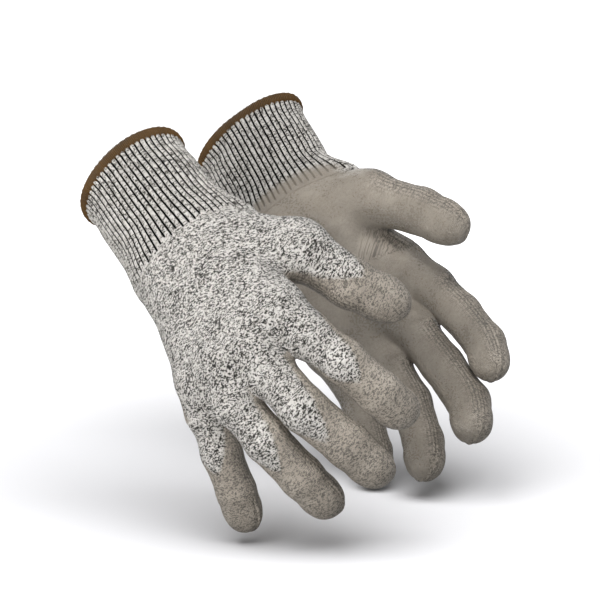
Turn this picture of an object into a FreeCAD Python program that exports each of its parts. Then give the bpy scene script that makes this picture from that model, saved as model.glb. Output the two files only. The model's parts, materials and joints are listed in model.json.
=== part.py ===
# A pair of size 9 cut resistant gloves, shaped as worn with the fingers a little bent.
# Each is a knitted liner with a ribbed cuff, an overlocked hem and elastic yarns, and a thin
# coating over the palm, the sides and the fingertips.
# Millimetres, +Z up.  The cuffs are on top and the fingers point down to the ground at z = 0.
# The right glove's back faces -Y and the left glove's back faces +Y.
# The pieces are hollow shells round a skeleton of straight segments.  Planes through each joint's
# axis cut them, so that neighbours clear each other over the whole travel.
import FreeCAD, Part
import math
import os

V = FreeCAD.Vector
FINGERS = ("index", "middle", "ring", "little")

# ---------------------------------------------------------------- skeleton at rest
# Each digit has its points, the direction of its back, and the angle in degrees that its joint
# axes are turned about the digit, so that the closing fingers pass each other.
# Finger points: knuckle, root, middle joint, end joint, tip.
# Thumb points: start inside the hand, base joint, tip joint, tip.
POSE = {
    "right": {
        "hem": (-90.1, 99.8, 46.2), "wrist": (-54.0, 45.0, 9.8), "back_side": (0, -1, 0),
        "digits": {
            "index": ([(-12.8, 0.0, -4.7), (4.1, -7.6, -16.7), (22.3, -14.4, -29.1),
                       (40.8, -13.5, -45.8), (58.4, -7.4, -62.5)], (0.015, -0.999, -0.036), 2.0),
            "middle": ([(-27.7, -4.1, -19.1), (-15.6, -11.5, -34.9), (1.7, -19.8, -52.4),
                        (24.6, -19.2, -71.8), (45.4, -13.1, -92.6)],
                       (-0.126, -0.975, -0.183), -2.0),
            "ring": ([(-40.1, -2.5, -31.0), (-32.9, -9.0, -52.2), (-17.7, -16.1, -69.4),
                      (1.3, -15.5, -90.0), (19.2, -9.2, -110.5)], (-0.283, -0.915, -0.288), -6.0),
            "little": ([(-51.7, 4.2, -42.7), (-47.5, 5.3, -61.9), (-40.8, -0.4, -79.9),
                        (-33.1, -0.1, -101.5), (-26.8, 5.1, -124.1)],
                       (-0.495, -0.849, -0.187), 0.0),
            "thumb": ([(-33.7, 44.9, 19.0), (0.1, 27.7, 21.0), (26.4, 20.7, 4.2),
                       (56.5, 20.2, -9.5)], (0.225, -0.724, 0.653), 45.0),
        },
    },
    "left": {
        "hem": (-29.1, 231.7, 46.5), "wrist": (0.6, 172.0, 6.0), "back_side": (0, 1, 0),
        "digits": {
            "index": ([(55.9, 151.7, -12.6), (74.9, 145.3, -23.4), (90.0, 133.7, -36.4),
                       (102.7, 116.7, -49.4), (107.6, 96.6, -63.5)], (0.801, 0.599, -0.001), 4.0),
            "middle": ([(47.4, 146.9, -35.3), (65.2, 138.2, -47.2), (79.9, 124.7, -63.9),
                        (93.0, 102.5, -79.3), (95.6, 77.2, -93.2)], (0.811, 0.571, -0.131), 0.0),
            "ring": ([(33.4, 146.3, -52.5), (50.7, 137.0, -67.1), (61.9, 124.9, -84.6),
                      (68.4, 104.3, -102.4), (69.4, 80.9, -115.9)], (0.745, 0.555, -0.37), 0.0),
            "little": ([(15.3, 151.6, -61.2), (30.0, 142.7, -79.0), (36.1, 133.5, -95.6),
                        (41.1, 119.5, -111.9), (43.2, 101.9, -126.5)],
                       (0.69, 0.639, -0.34), 0.0),
            "thumb": ([(10.3, 174.6, 18.2), (40.0, 152.4, 26.2), (67.3, 138.5, 21.4),
                       (92.1, 122.5, 11.8)], (0.474, 0.854, 0.214), 0.0),
        },
    },
}

# Moves the origin to the middle of the pair, on the ground under the fingertips
SHIFT = V(1.35, -108.13, 129.78)

# Where each palm ray starts, measured from the wrist's middle towards the thumb side
RAY_START = {"index": 10.0, "middle": 3.5, "ring": -3.5, "little": -10.0}

YARN_COUNT = 5

# ---------------------------------------------------------------- driving dimensions
SIZES = [
    ("wall_knit", 1.2), ("wall_coating", 0.7), ("coating_gap", 0.04), ("joint_gap", 0.5),
    # cuff and hem
    ("right_hem_half_width", 32.6), ("right_hem_half_depth", 24.2),
    ("left_hem_half_width", 36.0), ("left_hem_half_depth", 20.0),
    ("wrist_half_width", 34.2), ("wrist_half_depth", 24.5),
    ("hem_height", 3.0), ("hem_lip", 0.9), ("hem_gap", 0.05),
    # elastic yarns: section, distance inside the knit, first place from the hem, spacing
    ("elastic_yarn", 0.6), ("elastic_inset", 0.3), ("elastic_start", 10.0),
    ("elastic_pitch", 11.0),
    # radii of the knit along the skeleton
    ("hand_wrist_radius", 22.5), ("thenar_wrist_radius", 18.5),
    ("index_knuckle_radius", 14.2), ("index_root_radius", 10.9), ("index_mid_radius", 10.6),
    ("index_end_radius", 9.9), ("index_tip_radius", 9.2),
    ("middle_knuckle_radius", 14.4), ("middle_root_radius", 11.3), ("middle_mid_radius", 11.0),
    ("middle_end_radius", 10.3), ("middle_tip_radius", 9.6),
    ("ring_knuckle_radius", 13.6), ("ring_root_radius", 10.4), ("ring_mid_radius", 10.5),
    ("ring_end_radius", 9.9), ("ring_tip_radius", 9.3),
    ("little_knuckle_radius", 12.0), ("little_root_radius", 9.3), ("little_mid_radius", 9.3),
    ("little_end_radius", 8.8), ("little_tip_radius", 8.3),
    ("thumb_root_radius", 14.0), ("thumb_mid_radius", 12.1), ("thumb_tip_radius", 10.5),
    # travel of the joints in degrees, towards the palm and towards the back
    ("wrist_close", 25.0), ("wrist_open", 25.0), ("knuckle_close", 30.0), ("knuckle_open", 30.0),
    ("root_close", 15.0), ("root_open", 20.0), ("mid_close", 55.0), ("mid_open", 20.0),
    ("end_close", 33.0), ("end_open", 12.0),
    ("thumb_base_close", 3.0), ("thumb_base_open", 20.0),
    ("thumb_tip_close", 25.0), ("thumb_tip_open", 15.0),
    # how far bodies run on past the ends of their segments
    ("cuff_extra", 14.0), ("hand_extra", 12.0), ("finger_extra", 7.0), ("tip_inner_extra", 9.0),
    ("thenar_extra", 6.0), ("thenar_inner_extra", 2.0),
    # joint cutters: reach to palm and back, length along the segment, half width
    ("cut_reach", 17.0), ("cut_length", 34.0),
    ("wide_reach", 44.0), ("wide_length", 60.0), ("wide_half_width", 70.0),
    # what a cutter adds to the radius of a thumb or finger that meets the hand
    ("thumb_side_room", 2.0), ("finger_side_room", 1.0),
    # blocks that leave the back bare: size, and height above the segment's line
    ("bare_depth", 60.0), ("bare_length", 260.0),
    ("hand_bare_half_width", 90.0), ("digit_bare_half_width", 30.0),
    ("right_hand_bare_lift", 3.0), ("left_hand_bare_lift", 0.0), ("knuckle_bare_lift", 6.0),
    ("finger_bare_lift", 2.5), ("thumb_bare_lift", 3.0),
]

doc = FreeCAD.newDocument("gloves")
sheet = doc.addObject("Spreadsheet::Sheet", "dims")
size = {}
pieces = []


def put(alias, value):
    """Adds one named cell to the sheet"""
    row = len(size) + 1
    sheet.set(f"A{row}", alias)
    sheet.set(f"B{row}", f"{value:.4f}")
    sheet.setAlias(f"B{row}", alias)
    size[alias] = value


for alias, value in SIZES:
    put(alias, value)


def dims(*aliases):
    """The expression for the sum of some cells"""
    return " + ".join("dims." + alias for alias in aliases)


# The surfaces of the layers, as offsets from the outside of the knit
OFFSET = {
    "knit_outer": "",
    "knit_inner": " - " + dims("wall_knit"),
    "coating_inner": " + " + dims("coating_gap"),
    "coating_outer": " + " + dims("coating_gap", "wall_coating"),
    "bonded_outer": " + " + dims("wall_coating"),  # knit and coating as one piece
}

# The side of a joint that a cutter takes away
FINGERWARD, CUFFWARD = 1, -1


# ---------------------------------------------------------------- vectors and frames
def point(coordinates):
    return V(*coordinates) + SHIFT


def unit(vector):
    return vector * (1.0 / vector.Length)


def across(vector, direction):
    """The vector without its part along the unit direction, as a unit vector"""
    return unit(vector - direction * vector.dot(direction))


def square_to(row, direction, back):
    """The unit vector at right angles to the direction and the row, on the side of the back"""
    normal = across(row, direction).cross(direction)
    return normal if normal.dot(back) >= 0 else normal * -1


def place(origin, x, y):
    z = x.cross(y)
    return FreeCAD.Placement(FreeCAD.Matrix(
        x.x, y.x, z.x, origin.x,
        x.y, y.y, z.y, origin.y,
        x.z, y.z, z.z, origin.z,
        0, 0, 0, 1))


def place_along(origin, direction, back, slide):
    """Local Z along the direction, local Y towards the back, then a slide in that frame"""
    z = unit(direction)
    y = across(back, z)
    return place(origin, y.cross(z), y) * FreeCAD.Placement(slide, FreeCAD.Rotation())


# ---------------------------------------------------------------- building blocks
def bind(obj, **expressions):
    for prop, text in expressions.items():
        obj.setExpression(prop, text)


def fuse(name, parts):
    union = doc.addObject("Part::MultiFuse", name)
    union.Shapes = parts
    return union


def cut(name, base, tool):
    difference = doc.addObject("Part::Cut", name)
    difference.Base = base
    difference.Tool = tool
    return difference


def finish(obj, label):
    obj.Label = label
    pieces.append(obj)


def cutters(name, frame, joint, away, half_width=None):
    """What lies on one side of a joint.  The two planes meet on the joint's axis, local Z, and
    open by half the joint's travel on the palm side and on the back side."""
    kind = "wide" if joint in ("wrist", "knuckle") else "cut"
    reach, length = dims(kind + "_reach"), dims(kind + "_length")
    if half_width is None:
        half_width = dims("wide_half_width") if kind == "wide" else reach
    near = f"{dims('joint_gap')} * 0.5"
    made = []
    for half, travel in (("palm", "close"), ("back", "open")):
        wedge = doc.addObject("Part::Wedge", f"{name}_{joint}_{half}")
        far = f"{near} + {reach} * tan({dims(joint + '_' + travel)} * 0.5 * 1 deg)"
        if half == "palm":
            low, high = far, near
            bind(wedge, Ymin=f"-{reach}", Ymax="0")
        else:
            low, high = near, far
            bind(wedge, Ymin="0", Ymax=reach)
        if away == FINGERWARD:
            bind(wedge, Xmin=f"-({low})", X2min=f"-({high})", Xmax=length, X2max=length)
        else:
            bind(wedge, Xmax=low, X2max=high, Xmin=f"-{length}", X2min=f"-{length}")
        bind(wedge, Zmin=f"-({half_width})", Z2min=f"-({half_width})",
             Zmax=half_width, Z2max=half_width)
        wedge.Placement = frame
        made.append(wedge)
    return made


def bare_block(name, first, last, back, lift, half_width):
    """A block over the back of a segment, where the coating leaves the knit bare"""
    block = doc.addObject("Part::Box", name)
    bind(block, Length=f"{dims(half_width)} * 2", Width=dims("bare_depth"),
         Height=dims("bare_length"))
    corner = V(-size[half_width], size[lift], -size["bare_length"] / 2)
    block.Placement = place_along((first + last) * 0.5, last - first, back, corner)
    return block


def ellipse_loft(name, centres, stems, offset, x, y):
    """A straight-sided body between two ellipses, sized by the cells of the two stems"""
    sections = []
    for tag, centre, stem in zip("ab", centres, stems):
        ellipse = doc.addObject("Part::Ellipse", f"{name}_{tag}")
        bind(ellipse, MajorRadius=dims(stem + "_half_width") + offset,
             MinorRadius=dims(stem + "_half_depth") + offset)
        ellipse.Placement = place(centre, x, y)
        sections.append(ellipse)
    loft = doc.addObject("Part::Loft", name)
    loft.Sections = sections
    loft.Solid = True
    loft.Ruled = True
    return loft


# ---------------------------------------------------------------- one glove
class Glove:
    def __init__(self, side):
        pose = POSE[side]
        self.side = side
        self.segments = {}
        self.hinges = {}
        self.hem, self.wrist = point(pose["hem"]), point(pose["wrist"])
        points = {digit: [point(p) for p in row[0]] for digit, row in pose["digits"].items()}
        knuckles = [points[finger][0] for finger in FINGERS]
        roots = [points[finger][1] for finger in FINGERS]
        self.knuckle_centre = sum(knuckles, V(0, 0, 0)) * 0.25
        self.web_centre = (points["middle"][1] + points["ring"][1]) * 0.5
        self.root_row = roots[0] - roots[-1]

        palm_dir = unit(self.knuckle_centre - self.wrist)
        self.thumbward = across(knuckles[0] - knuckles[-1], palm_dir)
        self.back = square_to(self.thumbward, palm_dir, V(*pose["back_side"]))
        self.cuff_dir = unit(self.wrist - self.hem)
        self.cuff_x = across(self.thumbward, self.cuff_dir)
        self.cuff_y = self.cuff_dir.cross(self.cuff_x)

        steps = [unit(root - knuckle) for root, knuckle in zip(roots, knuckles)]
        front_dir = unit(sum(steps, V(0, 0, 0)))
        self.add_hand_hinge("wrist", self.wrist, self.cuff_dir, palm_dir)
        self.add_hand_hinge("knuckle", self.knuckle_centre, palm_dir, front_dir)

        for finger in FINGERS:
            start = self.wrist + self.thumbward * RAY_START[finger]
            self.add_digit(finger, [start] + points[finger], "hand_wrist_radius",
                           ("knuckle", "root", "mid", "end", "tip"),
                           ("palm", "front", "lower", "middle", "tip"),
                           ("root", "mid", "end"))
        self.add_digit("thumb", points["thumb"], "thenar_wrist_radius",
                       ("root", "mid", "tip"), ("thenar", "lower", "tip"),
                       ("thumb_base", "thumb_tip"))

    # ---- skeleton
    def add_hand_hinge(self, joint, at, before, after):
        """The wrist or the knuckles, turning about the line across the hand"""
        x = unit(before + after)
        self.hinges["hand", joint] = place(at, x, square_to(self.thumbward, x, self.back))

    def add_digit(self, digit, chain, first_radius, radius_stems, parts, joints):
        """The segments of one digit from the wrist outwards, and its joints.  The chain's last
        point is on the surface of the tip, and the last segment ends at the tip ball's centre."""
        _, back, swing = POSE[self.side]["digits"][digit]
        back = V(*back)
        radii = [first_radius] + [f"{digit}_{stem}_radius" for stem in radius_stems]
        inset = size[radii[-1]] + size["wall_coating"]
        ends = chain[:-1] + [chain[-1] - unit(chain[-1] - chain[-2]) * inset]
        for i, part in enumerate(parts):
            put(f"{self.side}_{digit}_{part}_length", (ends[i + 1] - ends[i]).Length)
            self.segments[digit, part] = (ends[i], ends[i + 1], self.back if i == 0 else back,
                                          radii[i], radii[i + 1])
        for i, joint in enumerate(joints, len(chain) - 1 - len(joints)):
            x = unit(unit(chain[i] - chain[i - 1]) + unit(chain[i + 1] - chain[i]))
            # the left hand's fingers swing at right angles to the row of finger roots
            if self.side == "left" and digit != "thumb":
                y = square_to(self.root_row, x, back)
            else:
                y = across(back, x)
            angle = math.radians(swing)
            y = y * math.cos(angle) + x.cross(y) * math.sin(angle)
            self.hinges[digit, joint] = place(chain[i], x, y)

    def beyond(self, name, digit, joint, away, half_width=None):
        return cutters(name, self.hinges[digit, joint], joint, away, half_width)

    def rod(self, name, digit, part, surface, *extras):
        """A tapered rod on a segment.  The extras are the cells for how far it runs on before
        the first point and, if there is a second one, past the last point."""
        first, last, back, first_radius, last_radius = self.segments[digit, part]
        rod = doc.addObject("Part::Cone", name)
        bind(rod, Radius1=dims(first_radius) + OFFSET[surface],
             Radius2=dims(last_radius) + OFFSET[surface],
             Height=dims(f"{self.side}_{digit}_{part}_length", *extras))
        rod.Placement = place_along(first, last - first, back, V(0, 0, -size[extras[0]]))
        return rod

    # ---- cuff
    def cuff_loft(self, name, first, last, stems, offset):
        """An elliptical body between two distances from the hem along the cuff"""
        centres = [self.hem + self.cuff_dir * first, self.hem + self.cuff_dir * last]
        return ellipse_loft(name, centres, stems, offset, self.cuff_x, self.cuff_y)

    def cuff_full_length(self):
        return (self.wrist - self.hem).Length + size["cuff_extra"]

    def cuff(self):
        """One elliptical tube from the hem to the wrist joint"""
        label = self.side + "_rib_cuff"
        stems = (self.side + "_hem", "wrist")
        full = self.cuff_full_length()
        over = 1.0  # the bore runs out of both ends
        outer = self.cuff_loft(label + "_outer", 0, full, stems, OFFSET["knit_outer"])
        inner = self.cuff_loft(label + "_inner", -over, full + over, stems, OFFSET["knit_inner"])
        tube = cut(label + "_tube", outer, inner)
        end = fuse(label + "_beyond", self.beyond(label, "hand", "wrist", FINGERWARD))
        finish(cut(label, tube, end), label)

    def cuff_hem(self):
        """The overlocked edge, a flat-ended band round the mouth"""
        label = self.side + "_cuff_hem"
        stems = (self.side + "_hem", self.side + "_hem")
        near = -size["hem_gap"]
        far = near - size["hem_height"]
        over = 0.5  # the bore runs out of both ends
        outer = self.cuff_loft(label + "_outer", far, near, stems, " + " + dims("hem_lip"))
        inner = self.cuff_loft(label + "_inner", far - over, near + over, stems,
                               OFFSET["knit_inner"] + f" - {dims('hem_lip')} * 0.6")
        finish(cut(label, outer, inner), label)

    def elastic(self):
        """Closed elliptical loops lying just inside the cuff"""
        inset = size["wall_knit"] + size["elastic_inset"]
        yarn = size["elastic_yarn"]
        full = self.cuff_full_length()

        def half_axis(kind, share):
            at_hem = size[f"{self.side}_hem_half_{kind}"]
            return at_hem + (size["wrist_half_" + kind] - at_hem) * share - inset

        def disc(major, minor):
            return Part.Face(Part.Wire([Part.Ellipse(V(0, 0, 0), major, minor).toShape()]))

        loops = []
        for i in range(YARN_COUNT):
            distance = size["elastic_start"] + i * size["elastic_pitch"]
            major = half_axis("width", distance / full)
            minor = half_axis("depth", distance / full)
            face = disc(major, minor).cut(disc(major - yarn, minor - yarn))
            loop = face.extrude(V(0, 0, yarn))
            loop.Placement = place(self.hem + self.cuff_dir * distance, self.cuff_x, self.cuff_y)
            loops.append(loop)
        label = self.side + "_cuff_elastic"
        yarns = doc.addObject("Part::Feature", label)
        yarns.Shape = Part.makeCompound(loops)
        finish(yarns, label)

    # ---- hand and knuckles
    def hand_body(self, surface):
        """Four rays from the wrist to the knuckles, and the thumb's base.
        Outer bodies are trimmed at the joints and inner ones run on past them."""
        name = f"{self.side}_hand_{surface}"
        trimmed = surface.endswith("_outer")
        rays = [self.rod(f"{name}_{finger}", finger, "palm", surface, "hand_extra", "hand_extra")
                for finger in FINGERS]
        body = fuse(name + "_rays", rays)
        start_extra = "thenar_inner_extra" if surface == "knit_inner" else "thenar_extra"
        thenar = self.rod(name + "_thenar", "thumb", "thenar", surface,
                          start_extra, "finger_extra")
        if trimmed:
            ends = self.beyond(name, "hand", "wrist", CUFFWARD)
            ends += self.beyond(name, "hand", "knuckle", FINGERWARD)
            ends += self.beyond(name, "thumb", "thumb_base", FINGERWARD,
                                dims("thumb_root_radius", "thumb_side_room"))
            body = cut(name + "_rays_cut", body, fuse(name + "_ends", ends))
            ends = self.beyond(name + "_thenar", "thumb", "thumb_base", FINGERWARD)
            ends += self.beyond(name + "_thenar", "hand", "wrist", CUFFWARD)
            thenar = cut(name + "_thenar_cut", thenar, fuse(name + "_thenar_ends", ends))
        return fuse(name, [body, thenar])

    def knuckle_body(self, surface):
        """Four rays from the knuckle line to the finger roots, trimmed like the hand"""
        name = f"{self.side}_front_{surface}"
        trimmed = surface.endswith("_outer")
        rays = []
        for finger in FINGERS:
            ray_name = f"{name}_{finger}"
            ray = self.rod(ray_name, finger, "front", surface, "hand_extra", "finger_extra")
            if trimmed:
                end = fuse(ray_name + "_end", self.beyond(ray_name, finger, "root", FINGERWARD))
                ray = cut(ray_name + "_cut", ray, end)
            rays.append(ray)
        body = fuse(name, rays)
        if trimmed:
            ends = self.beyond(name, "hand", "knuckle", CUFFWARD)
            for finger in FINGERS:
                ends += self.beyond(f"{name}_by_{finger}", finger, "root", FINGERWARD,
                                    dims(finger + "_root_radius", "finger_side_room"))
            body = cut(name + "_cut", body, fuse(name + "_ends", ends))
        return body

    def knit_and_coating(self, body, knit_label, coating_label, first, last, lift):
        """The two layers of a part of the hand.  The coating leaves its back bare."""
        knit_label = f"{self.side}_{knit_label}"
        coating_label = f"{self.side}_{coating_label}"
        finish(cut(knit_label, body("knit_outer"), body("knit_inner")), knit_label)
        bare = bare_block(coating_label + "_bare", first, last, self.back, lift,
                          "hand_bare_half_width")
        removed = fuse(coating_label + "_less", [body("coating_inner"), bare])
        finish(cut(coating_label, body("coating_outer"), removed), coating_label)

    # ---- fingers and thumb
    def tube(self, name, digit, part, outer, inner, tools):
        label = f"{self.side}_{digit}_{name}"
        rods = [self.rod(f"{label}_{surface}", digit, part, surface,
                         "finger_extra", "finger_extra") for surface in (outer, inner)]
        shell = cut(label + "_shell", *rods)
        finish(cut(label, shell, fuse(label + "_tools", tools)), label)

    def lower(self, digit, low_joint, high_joint, lift):
        """The knit and the coating of a digit's first free segment"""
        name = f"{self.side}_{digit}_lower"
        ends = self.beyond(name, digit, low_joint, CUFFWARD)
        ends += self.beyond(name, digit, high_joint, FINGERWARD)
        first, last, back = self.segments[digit, "lower"][:3]
        bare = bare_block(name + "_bare", first, last, back, lift, "digit_bare_half_width")
        self.tube("lower_knit", digit, "lower", "knit_outer", "knit_inner", ends)
        self.tube("lower_coating", digit, "lower", "coating_outer", "coating_inner",
                  ends + [bare])

    def middle(self, finger):
        name = f"{self.side}_{finger}_middle"
        ends = self.beyond(name, finger, "mid", CUFFWARD)
        ends += self.beyond(name, finger, "end", FINGERWARD)
        self.tube("middle", finger, "middle", "bonded_outer", "knit_inner", ends)

    def tip(self, name, digit, joint):
        """The last segment, closed by a ball"""
        label = f"{self.side}_{digit}_{name}"
        centre, _, radius = self.segments[digit, "tip"][1:4]
        radius = digit + "_tip_radius"
        bodies = []
        for surface, extra in (("bonded_outer", "finger_extra"),
                               ("knit_inner", "tip_inner_extra")):
            body_name = f"{label}_{surface}"
            rod = self.rod(body_name + "_rod", digit, "tip", surface, extra)
            cap = doc.addObject("Part::Sphere", body_name + "_cap")
            bind(cap, Radius=dims(radius) + OFFSET[surface])
            cap.Placement = FreeCAD.Placement(centre, rod.Placement.Rotation)
            bodies.append(fuse(body_name, [rod, cap]))
        shell = cut(label + "_shell", *bodies)
        end = fuse(label + "_beyond", self.beyond(label, digit, joint, CUFFWARD))
        finish(cut(label, shell, end), label)

    def build(self):
        self.cuff()
        self.cuff_hem()
        self.elastic()
        self.knit_and_coating(self.hand_body, "hand_knit", "palm_coating",
                              self.wrist, self.knuckle_centre, self.side + "_hand_bare_lift")
        self.knit_and_coating(self.knuckle_body, "knuckle_knit", "knuckle_coating",
                              self.knuckle_centre, self.web_centre, "knuckle_bare_lift")
        for finger in FINGERS:
            self.lower(finger, "root", "mid", "finger_bare_lift")
            self.middle(finger)
            self.tip("tip", finger, "end")
        self.lower("thumb", "thumb_base", "thumb_tip", "thumb_bare_lift")
        self.tip("end", "thumb", "thumb_tip")


for side in ("right", "left"):
    Glove(side).build()

doc.recompute()

# ---------------------------------------------------------------- checks and files
failed = [obj.Name for obj in doc.Objects if "Invalid" in obj.State or "Error" in obj.State]
if failed:
    raise SystemExit("failed objects: " + ", ".join(failed))
for piece in pieces:
    if piece.Shape.isNull() or not piece.Shape.isValid() or not piece.Shape.Solids:
        raise SystemExit("bad shape: " + piece.Label)

os.makedirs("parts", exist_ok=True)
for piece in pieces:
    piece.Shape.exportStep(os.path.join("parts", piece.Label + ".step"))
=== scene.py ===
# A pair of knitted cut resistant gloves with a dipped coating, as closed thin fabric shells around the skeleton
# of the CAD frame.  Every length below is in millimetres until the meshes are made; Blender's objects are in metres.
import bpy
import json
import math
import time
import numpy as np
from mathutils import Vector, Matrix


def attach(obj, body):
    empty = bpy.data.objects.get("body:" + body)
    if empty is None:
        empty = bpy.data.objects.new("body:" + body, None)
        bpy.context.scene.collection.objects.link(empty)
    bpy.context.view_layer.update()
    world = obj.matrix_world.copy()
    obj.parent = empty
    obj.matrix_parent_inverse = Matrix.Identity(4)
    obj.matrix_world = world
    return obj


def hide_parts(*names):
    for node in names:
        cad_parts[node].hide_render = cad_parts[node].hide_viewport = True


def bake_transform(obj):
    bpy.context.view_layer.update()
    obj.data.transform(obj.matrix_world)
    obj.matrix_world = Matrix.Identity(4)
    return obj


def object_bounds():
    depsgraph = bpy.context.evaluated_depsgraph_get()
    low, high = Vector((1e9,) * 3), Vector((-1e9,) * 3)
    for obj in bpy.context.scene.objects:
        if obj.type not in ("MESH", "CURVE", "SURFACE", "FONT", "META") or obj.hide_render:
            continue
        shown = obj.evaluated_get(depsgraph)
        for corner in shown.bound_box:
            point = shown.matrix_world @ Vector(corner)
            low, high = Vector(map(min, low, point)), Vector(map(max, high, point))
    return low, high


T0 = time.time()
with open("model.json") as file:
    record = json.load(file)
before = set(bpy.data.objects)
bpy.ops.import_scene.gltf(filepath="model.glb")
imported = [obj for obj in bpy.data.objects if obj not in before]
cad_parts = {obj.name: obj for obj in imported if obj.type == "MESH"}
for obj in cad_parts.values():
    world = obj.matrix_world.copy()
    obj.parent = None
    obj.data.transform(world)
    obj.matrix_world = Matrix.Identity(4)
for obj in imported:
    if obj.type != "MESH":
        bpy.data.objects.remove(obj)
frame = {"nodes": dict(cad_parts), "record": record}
BOX0 = [list(v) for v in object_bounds()]
JOINTS = dict((j["name"], j) for j in frame["record"]["behaviour"]["joints"])
STEP = 0.9          # grid of the surface mesher

POSE = {
    "right": {
        "hem": (-90.1, 99.8, 46.2), "wrist": (-54.0, 45.0, 9.8),
        "knuckle": {"index": (-12.8, 0.0, -4.7), "middle": (-27.7, -4.1, -19.1), "ring": (-40.1, -2.5, -31.0), "little": (-51.7, 4.2, -42.7)},
        "index": [(4.1, -7.6, -16.7), (22.3, -14.4, -29.1), (40.8, -13.5, -45.8), (58.4, -7.4, -62.5)], "index_back": (0.015, -0.999, -0.036),
        "middle": [(-15.6, -11.5, -34.9), (1.7, -19.8, -52.4), (24.6, -19.2, -71.8), (45.4, -13.1, -92.6)], "middle_back": (-0.126, -0.975, -0.183),
        "ring": [(-32.9, -9.0, -52.2), (-17.7, -16.1, -69.4), (1.3, -15.5, -90.0), (19.2, -9.2, -110.5)], "ring_back": (-0.283, -0.915, -0.288),
        "little": [(-47.5, 5.3, -61.9), (-40.8, -0.4, -79.9), (-33.1, -0.1, -101.5), (-26.8, 5.1, -124.1)], "little_back": (-0.495, -0.849, -0.187),
        "thumb": [(-33.7, 44.9, 19.0), (0.1, 27.7, 21.0), (26.4, 20.7, 4.2), (56.5, 20.2, -9.5)], "thumb_back": (0.225, -0.724, 0.653),
    },
    "left": {
        "hem": (-29.1, 231.7, 46.5), "wrist": (0.6, 172.0, 6.0),
        "knuckle": {"index": (55.9, 151.7, -12.6), "middle": (47.4, 146.9, -35.3), "ring": (33.4, 146.3, -52.5), "little": (15.3, 151.6, -61.2)},
        "index": [(74.9, 145.3, -23.4), (90.0, 133.7, -36.4), (102.7, 116.7, -49.4), (107.6, 96.6, -63.5)], "index_back": (0.801, 0.599, -0.001),
        "middle": [(65.2, 138.2, -47.2), (79.9, 124.7, -63.9), (93.0, 102.5, -79.3), (95.6, 77.2, -93.2)], "middle_back": (0.811, 0.571, -0.131),
        "ring": [(50.7, 137.0, -67.1), (61.9, 124.9, -84.6), (68.4, 104.3, -102.4), (69.4, 80.9, -115.9)], "ring_back": (0.745, 0.555, -0.37),
        "little": [(30.0, 142.7, -79.0), (36.1, 133.5, -95.6), (41.1, 119.5, -111.9), (43.2, 101.9, -126.5)], "little_back": (0.69, 0.639, -0.34),
        "thumb": [(10.3, 174.6, 18.2), (40.0, 152.4, 26.2), (67.3, 138.5, 21.4), (92.1, 122.5, 11.8)], "thumb_back": (0.474, 0.854, 0.214),
    },
}


F4 = ("index", "middle", "ring", "little")
SHIFT = np.array(JOINTS["right_wrist_flex"]["pos_m"]) * 1000.0 - np.array(POSE["right"]["wrist"])


def A(p):
    return np.array(p, float)


def P(p):
    return A(p) + SHIFT


def unit(v):
    return v / np.linalg.norm(v)


def across(v, d):
    return unit(v - d * np.dot(v, d))


def sstep(a, b, x):
    t = np.clip((x - a) / (b - a), 0.0, 1.0)
    return t * t * (3.0 - 2.0 * t)


def smin(a, b, k):
    """Smooth union of two distance fields; they meet with a fillet about k wide"""
    h = np.clip(0.5 + 0.5 * (b - a) / k, 0.0, 1.0)
    return b + (a - b) * h - k * h * (1.0 - h)


def smax(a, b, k):
    return -smin(-a, -b, k)


# ---- value noise, seeded by position only
def _hash(i, j, k, seed):
    n = (i * 374761393 + j * 668265263 + k * 2147483647 + seed * 1274126177) & 0xFFFFFFFF
    n = ((n ^ (n >> 13)) * 1274126177) & 0xFFFFFFFF
    return ((n ^ (n >> 16)) & 0xFFFFFF).astype(float) / float(0xFFFFFF)


def noise(p, scale, seed=0):
    """Smooth noise in -1..1 with features about `scale` mm across"""
    q = p / scale + 1000.0
    i = np.floor(q).astype(np.int64)
    f = q - i
    f = f * f * (3 - 2 * f)
    out = 0.0
    for dx in (0, 1):
        for dy in (0, 1):
            for dz in (0, 1):
                w = (f[:, 0] if dx else 1 - f[:, 0]) * (f[:, 1] if dy else 1 - f[:, 1]) * (f[:, 2] if dz else 1 - f[:, 2])
                out = out + w * _hash(i[:, 0] + dx, i[:, 1] + dy, i[:, 2] + dz, seed)
    return out * 2.0 - 1.0


R_FINGER = {"index": (11.5, 11.2, 11.0, 10.5, 9.9), "middle": (12.0, 11.7, 11.5, 10.9, 10.2),
            "ring": (11.5, 11.2, 11.0, 10.5, 9.9), "little": (10.6, 10.2, 9.9, 9.5, 8.9)}
R_KNUCKLE = {"index": 13.6, "middle": 14.0, "ring": 13.4, "little": 11.8}
# half width and half depth of the cuff at its mouth, and at the wrist
MOUTH = {"right": (32.6, 24.2), "left": (36.0, 20.0)}
WRIST_AX = (34.2, 24.5)


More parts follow.
